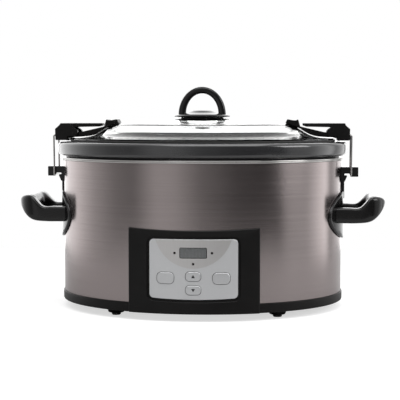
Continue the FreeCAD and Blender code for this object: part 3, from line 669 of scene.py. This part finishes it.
def makeLidGlass():
    bm = bmesh.new()
    hub = 3.4
    upper = [(r, z) for r, z in glassLine() if r > hub] + [(hub, glassHigh.z)]
    under = [(max(hub, r - 0.2), z - glassShape["wall"]) for r, z in reversed(upper)]
    turnOval(bm, upper + under, steps=256)
    finishMesh("lidGlass", bm, finishes["clear_glass"], "lid", ["lid_glass"], 50)


gasketLow, gasketHigh = boxMm("lid_gasket")
gasket = {"seat": 5.0}


def makeGasket():
    # a thin band between the glass and the rim, turned up round the edge of the glass
    bm = bmesh.new()
    out, low, high, edge = gasketHigh.x, gasketLow.z, gasketHigh.z, glassHigh.x
    seat = glassLow.z - 0.05
    profile = filleted([(edge - gasket["seat"], low, 0.2), (out, low, 0.3), (out, high, 0.5),
                        (edge + 0.15, high, 0.4),
                        (edge + 0.15, seat, 0), (edge - gasket["seat"], seat, 0)], steps=4)
    turnOval(bm, profile, steps=256)
    finishMesh("lidGasket", bm, finishes["black_rubber"], "lid", ["lid_gasket"], 40)


knobLow, knobHigh = boxMm("lid_handle")
knob = {"archHalf": 30.5, "band": 9.0, "deep": 16.0, "squareness": 3.4}


def makeLidHandle():
    bm = bmesh.new()
    low, out = knobLow.z, knobHigh.x
    disc = filleted([(0, low, 0), (out - 4, low, 0), (out - 0.7, low + 0.6, 0.4), (out, low + 1.7, 0.5),
                     (out - 3.0, low + 3.2, 3), (out - 8.5, low + 4.4, 6), (20, low + 5.6, 10),
                     (12, low + 8.6, 8),
                     (0, low + 9.0, 0)], closed=False, steps=7)
    turnOval(bm, disc, 1.0, 128, closed=False)
    foot = low + 3.0
    rise = knobHigh.z - foot
    rings = []
    for k in range(49):
        angle = math.pi * k / 48
        band = knob["band"] * (1 + 0.10 * abs(math.cos(angle)) ** 3)
        centre = Vector(((knob["archHalf"] - band / 2) * math.cos(angle), 0,
                         foot + (rise - band / 2) * math.sin(angle)))
        along = Vector((-(knob["archHalf"] - band / 2) * math.sin(angle), 0,
                        (rise - band / 2) * math.cos(angle))).normalized()
        outward = Vector((along.z, 0, -along.x))
        ring = []
        for j in range(28):
            t = 2 * math.pi * j / 28
            power = 2 / knob["squareness"]
            across = math.copysign(abs(math.cos(t)) ** power, math.cos(t)) * band / 2
            deep = math.copysign(abs(math.sin(t)) ** power, math.sin(t)) * knob["deep"] / 2
            ring.append(centre + outward * across + Vector((0, deep, 0)))
        rings.append(ring)
    alongPath(bm, rings)
    finishMesh("lidHandle", bm, glossBlack, "lid", ["lid_handle"], 60)


makeCrock()
makeLidGlass()
makeGasket()
makeLidHandle()
print("crock and lid ready")

# side handles, hooks and latches, drawn on the right and mirrored for the left
gripLow, gripHigh = boxMm("right_handle")
grip = {"arm": 16.0, "bar": 20.0, "outer": 27.0, "inner": 13.0, "armHigh": 19.1, "squareness": 5.0}


def cornerRun(x0, x1, half, radius, count):
    # half of the loop in plan: along one arm, round the corner and to the middle of the bar
    line = []
    for k in range(count):
        line.append((x0 + (x1 - radius - x0) * k / count, half))
    for k in range(count + 1):
        angle = math.pi / 2 * (1 - k / count)
        line.append((x1 - radius + radius * math.cos(angle), half - radius + radius * math.sin(angle)))
    for k in range(1, 7):
        line.append((x1, (half - radius) * (1 - k / 6)))
    return line


def heightAt(points, x):
    for (x0, z0), (x1, z1) in zip(points, points[1:]):
        if x <= x1:
            return z0 + (z1 - z0) * max(0, (x - x0) / (x1 - x0))
    return points[-1][1]


def makeGrip(side, name, node):
    bm = bmesh.new()
    tip, half, low, high = gripHigh.x, gripHigh.y, gripLow.z, gripHigh.z
    outer = cornerRun(ovalHalf - 9, tip, half, grip["outer"], 12)
    inner = cornerRun(ovalHalf - 9, tip - grip["bar"], half - grip["arm"], grip["inner"], 12)
    outer += [(x, -y) for x, y in reversed(outer[:-1])]
    inner += [(x, -y) for x, y in reversed(inner[:-1])]
    armHigh = low + grip["armHigh"]
    upper = smoothLine([(tip - 45, armHigh), (tip - 33, armHigh), (tip - 25, high - 7.1),
                        (tip - 20, high - 1.5),
                        (tip - 13, high), (tip - 4, high - 1.8), (tip, high - 5.8)])
    lower = smoothLine([(tip - 50, low), (tip - 38, low), (tip - 21, low + 1.5), (tip - 11, low + 7),
                        (tip - 3, low + 16.6),
                        (tip, low + 25)])
    rings = []
    for (ox, oy), (ix, iy) in zip(outer, inner):
        ring = []
        for j in range(32):
            t = 2 * math.pi * j / 32
            power = 2 / grip["squareness"]
            across = 0.5 + 0.5 * math.copysign(abs(math.cos(t)) ** power, math.cos(t))
            up = 0.5 + 0.5 * math.copysign(abs(math.sin(t)) ** power, math.sin(t))
            x, y = ix + (ox - ix) * across, iy + (oy - iy) * across
            bottom, top = heightAt(lower, x), heightAt(upper, x)
            ring.append(Vector((x, y, bottom + (top - bottom) * up)))
        rings.append(ring)
    alongPath(bm, rings)
    finishMesh(name, bm, glossBlack, "housing", [node], 60, side=side)


plateHigh = boxMm("right_catch_plate")[1]
bailLow, bailHigh = boxMm("right_bail")
catch = {"half": 62.0, "tall": 30.0, "hookHalf": 12.5, "neckHalf": 8.0, "hookTall": 12.3, "neck": 3.5,
         "notch": 3.0}


def makeCatch(side, name, node):
    bm = bmesh.new()
    middle = gripLow.z + 8.5
    barX = (bailLow.x + 2.2 + bailHigh.x) / 2
    rings = []
    for scale, depth in ((1.0, 0.3), (1.0, 2.3), (0.985, 2.9), (0.955, 3.2), (0.7, 3.2), (0.35, 3.2),
                         (0.02, 3.2)):
        ring = []
        for j in range(72):
            t = 2 * math.pi * j / 72
            y, z = catch["half"] * scale * math.cos(t), middle + catch["tall"] * scale * math.sin(t)
            half = ovalHalf + depth
            ring.append(Vector((half * math.sqrt(1 - (y / (half * ovalRatio)) ** 2), y, z)))
        rings.append(ring)
    alongPath(bm, rings)
    inner, out, top = ovalHalf - 1.0, plateHigh.x, plateHigh.z
    low, neck, notch = top - catch["hookTall"], ovalHalf + catch["neck"], catch["notch"]
    hook = filleted([(inner, low - 6, 0), (neck, low - 7, 2), (neck + 4, low + 2, 2),
                     (barX - notch - 0.5, low + 2, 0.6),
                     (barX - notch, low + 4, 1.2), (barX + notch, low + 4, 1.2),
                     (barX + notch + 0.5, low + 2, 0.6),
                     (barX + notch + 1.5, low, 0.6), (out, low, 0.9), (out, top, 1.3), (inner, top, 0)],
                    steps=4)
    drawOut(bm, hook, -catch["hookHalf"], catch["hookHalf"])
    strut = filleted([(inner, middle + 20, 0), (neck, middle + 20, 1), (neck, low - 5, 0),
                      (inner, low - 5, 0)], steps=4)
    drawOut(bm, strut, -catch["neckHalf"], catch["neckHalf"])
    finishMesh(name, bm, glossBlack, "housing", [node], 38, 0.5, side)


leverLow, leverHigh = boxMm("right_latch_lever")
hinge = next(joint for joint in frame["joints"] if joint["name"] == "right_latch_open")["pos_m"]
bailHinge = next(joint for joint in frame["joints"] if joint["name"] == "right_bail_turn")["pos_m"]
latch = {"plate": 4.3, "half": 19.5, "tongue": 11.6, "tipHalf": 9.0, "slot": 1.7, "bailSide": 16.0,
         "legSlot": 10.9, "step": 1.9, "aboveGlass": 0.9}


def makeLever(side, name, node, body):
    bm = bmesh.new()
    hx, hz = hinge[0] / mm, hinge[2] / mm
    tip, tail, top, low = leverLow.x, leverHigh.x, leverHigh.z, leverLow.z
    chin = top - latch["plate"]
    plate = filleted([(tip, top, 0.4), (tip, chin + 1.6, 0.3), (tip + 5, chin, 1), (hx - 1, chin - 1, 0),
                      (hx, top, 1)], steps=3)
    mask = len(bm.verts)
    drawOut(bm, plate, -14.5, 14.5)
    bm.verts.ensure_lookup_table()
    for vert in bm.verts[mask:]:
        narrow = latch["tipHalf"] + (14.5 - latch["tipHalf"]) * min(1, max(0, (vert.co.x - tip) / 28))
        vert.co.y *= narrow / 14.5
    step = hz - latch["step"]
    cam = [(hx - 17, top, 1), (hx - 17, chin, 2), (hx - 25, hz + 4.5, 7), (hx - 21.5, step, 2)]
    cheek = filleted(cam + [(hx - 10.5, step, 1), (hx - 10.5, low, 1), (tail - 0.5, low, 1.2),
                            (tail, hz + 7.5, 1),
                            (hx + 1.5, hz + 10.8, 1.5), (hx - 2.3, top, 1.5)], steps=4)
    inner = latch["tongue"] + 0.35
    slotLow, slotHigh = latch["bailSide"] - latch["slot"], latch["bailSide"] + latch["slot"]
    slotEnd = bailHinge[0] / mm - latch["legSlot"]
    short = filleted(cam + [(slotEnd, step, 0.6), (slotEnd, top, 1.0)], steps=4)
    for sy in (-1, 1):
        drawOut(bm, cheek, sy * inner, sy * slotLow)
        drawOut(bm, cheek, sy * slotHigh, sy * latch["half"])
        drawOut(bm, short, sy * (slotLow - 0.5), sy * (slotHigh + 0.5))
    back = filleted([(hx - 24, top, 1), (hx - 24, chin, 0.5), (hx - 2, chin, 0), (hx + 1.2, hz + 10.9, 0),
                     (hx - 2.3, top, 1)], steps=3)
    drawOut(bm, back, -inner - 0.4, inner + 0.4)
    finishMesh(name, bm, finishes["black_plastic"], body, [node], 38, 0.45, side)


def makeBracket(side, name, node):
    bm = bmesh.new()
    hx, hz = hinge[0] / mm, hinge[2] / mm
    tip = leverLow.x
    under = leverHigh.z - latch["plate"] - 0.3
    low = hz - 3.9
    line = list(reversed(glassLine()))

    def onGlass(x):
        return (x, heightAt(line, x) + latch["aboveGlass"], 0)

    bottom = [onGlass(x) for x in (166, 160, 154, 147, 142, 137, 133, 129, 126)]
    arm = filleted([(tip - 6, under + 2, 1), (tip - 0.8, under, 1), (hx - 27, hz + 3.6, 6),
                    (hx - 22, hz + 3, 3),
                    (hx, hz + 5, 2), (hx + 4, hz, 3), (hx, low, 0), (hx - 13, low, 0)] + bottom, steps=4)
    drawOut(bm, arm, -latch["tongue"], latch["tongue"])
    sole = [onGlass(x) for x in (tip - 3, tip - 7, tip - 12, tip - 17, tip - 21.6)]
    post = filleted([(tip - 19.2, under + 9.8, 1.5), (tip - 12.2, under + 8.4, 3),
                     (tip - 8.5, under + 8.2, 3),
                     (tip - 5.5, under + 9.6, 0.8), (tip - 3.0, under + 1.0, 2)] + sole, steps=4)
    drawOut(bm, post, -latch["tongue"] - 1.5, latch["tongue"] + 1.5)
    footLow = crockHigh.z + 0.5
    foot = filleted([(hx - 10, low + 3, 0), (hx - 10, footLow, 0.8), (hx - 6.5, footLow, 0.8),
                     (hx - 6.5, low + 3, 0)], steps=3)
    drawOut(bm, foot, -6, 6)
    finishMesh(name, bm, finishes["black_plastic"], "lid", [node], 38, 0.45, side)


for side, word in ((1, "right"), (-1, "left")):
    makeGrip(side, word + "Grip", word + "_handle")
    makeCatch(side, word + "Catch", word + "_catch_plate")
    makeLever(side, word + "Lever", word + "_latch_lever", word + "_lever")
    makeBracket(side, word + "Bracket", word + "_latch_bracket")
print("handles and latches ready")


# room, light and camera
studio = {"floorHalf": 0.6, "floorShade": tone(0.52, 0.52, 0.52), "floorGlow": 0.62}


def makeFloor():
    finish = Finish("pale floor")
    wear = finish.noise(3.0)
    seen = finish.node("ShaderNodeLightPath", output="Is Camera Ray")
    glow = finish.blend(seen, tone(0, 0, 0), tone(*[studio["floorGlow"]] * 3))
    floorFinish = finish.surface({"Base Color": finish.blend(wear, studio["floorShade"],
                                                             tone(0.55, 0.55, 0.55)),
                                  "Roughness": 0.8, "Specular IOR Level": 0.0, "Emission Color": glow,
                                  "Emission Strength": 1.0})
    mesh = bpy.data.meshes.new("floor")
    half = studio["floorHalf"]
    mesh.from_pydata([(-half, -half, 0), (half, -half, 0), (half, half, 0), (-half, half, 0)], [],
                     [(0, 1, 2, 3)])
    mesh.materials.append(floorFinish)
    floor = bpy.data.objects.new("floor", mesh)
    bpy.context.scene.collection.objects.link(floor)


# brightness of the room round the cooker, by compass angle from the front, positive to the right
roomTones = [(-180, 2.2), (-150, 1.9), (-118, 1.7), (-104, 1.3), (-85, 0.75), (-62, 0.36), (-46, 0.26),
             (-30, 0.75),
             (-18, 0.70), (0, 0.30), (22, 0.12), (46, 0.05), (56, 0.07), (64, 0.60), (84, 0.70), (100, 1.5),
             (112, 2.1),
             (122, 0.6), (150, 1.6), (180, 2.2)]


def makeRoom():
    world = bpy.data.worlds.new("studio")
    bpy.context.scene.world = world
    room = Finish(owner=world)
    tree = room.tree
    spot = room.node("ShaderNodeTexCoord", output="Generated")
    split = room.tree.nodes.new("ShaderNodeSeparateXYZ")
    tree.links.new(spot.socket, split.inputs[0])
    across, along, up = [Value(room, split.outputs[k]) for k in range(3)]
    angle = room.maths("ARCTAN2", across, along * -1.0)
    turn = angle / (2 * math.pi) + 0.5
    peak = max(stop[1] for stop in roomTones)
    stops = [((place + 180) / 360, tone(*[level / peak] * 3)) for place, level in roomTones]
    ring = room.node("ShaderNodeValToRGB", {"stops": stops}, {"Fac": turn})
    height = room.node("ShaderNodeMapRange", {"interpolation_type": "SMOOTHSTEP"},
                       {"Value": up, "From Min": 0.35, "From Max": 0.85, "To Min": 0.0, "To Max": 1.0})
    ceiling = tone(*[0.75 / peak] * 3)
    shade = room.blend(height, ring, ceiling)
    seen = room.node("ShaderNodeLightPath", output="Is Camera Ray")
    shade = room.blend(seen, shade, tone(*[1.0 / peak] * 3))
    light = room.node("ShaderNodeBackground", None, {"Color": shade, "Strength": peak})
    tree.links.new(light.socket, tree.nodes.new("ShaderNodeOutputWorld").inputs["Surface"])


lamps = {"overhead": {"place": (0.1, -0.5, 1.6), "size": 1.4, "power": 16},
         "side": {"place": (1.5, -0.6, 0.9), "size": 0.8, "power": 10}}


def makeLamps():
    for name, lamp in lamps.items():
        data = bpy.data.lights.new(name, "AREA")
        data.size = lamp["size"]
        data.energy = lamp["power"]
        light = bpy.data.objects.new(name, data)
        light.location = lamp["place"]
        light.rotation_euler = (Vector((0, 0, 0.1)) - light.location).to_track_quat("-Z", "Y").to_euler()
        bpy.context.scene.collection.objects.link(light)


camera = {"turn": 4.4, "away": 1.529, "height": 0.2426, "aimHeight": 0.1338, "aimLeft": 0.003,
          "lens": 107.5}


def makeCamera():
    turn = math.radians(camera["turn"])
    data = bpy.data.cameras.new("camera")
    data.lens = camera["lens"]
    data.sensor_width = 36
    eye = bpy.data.objects.new("camera", data)
    eye.location = (camera["away"] * math.sin(turn), -camera["away"] * math.cos(turn), camera["height"])
    aim = Vector((-camera["aimLeft"] * math.cos(turn), -camera["aimLeft"] * math.sin(turn),
                  camera["aimHeight"]))
    eye.rotation_euler = (aim - eye.location).to_track_quat("-Z", "Y").to_euler()
    bpy.context.scene.collection.objects.link(eye)
    bpy.context.scene.camera = eye


makeFloor()
makeRoom()
makeLamps()
makeCamera()
bpy.context.scene.view_settings.view_transform = "Standard"
print("room ready")
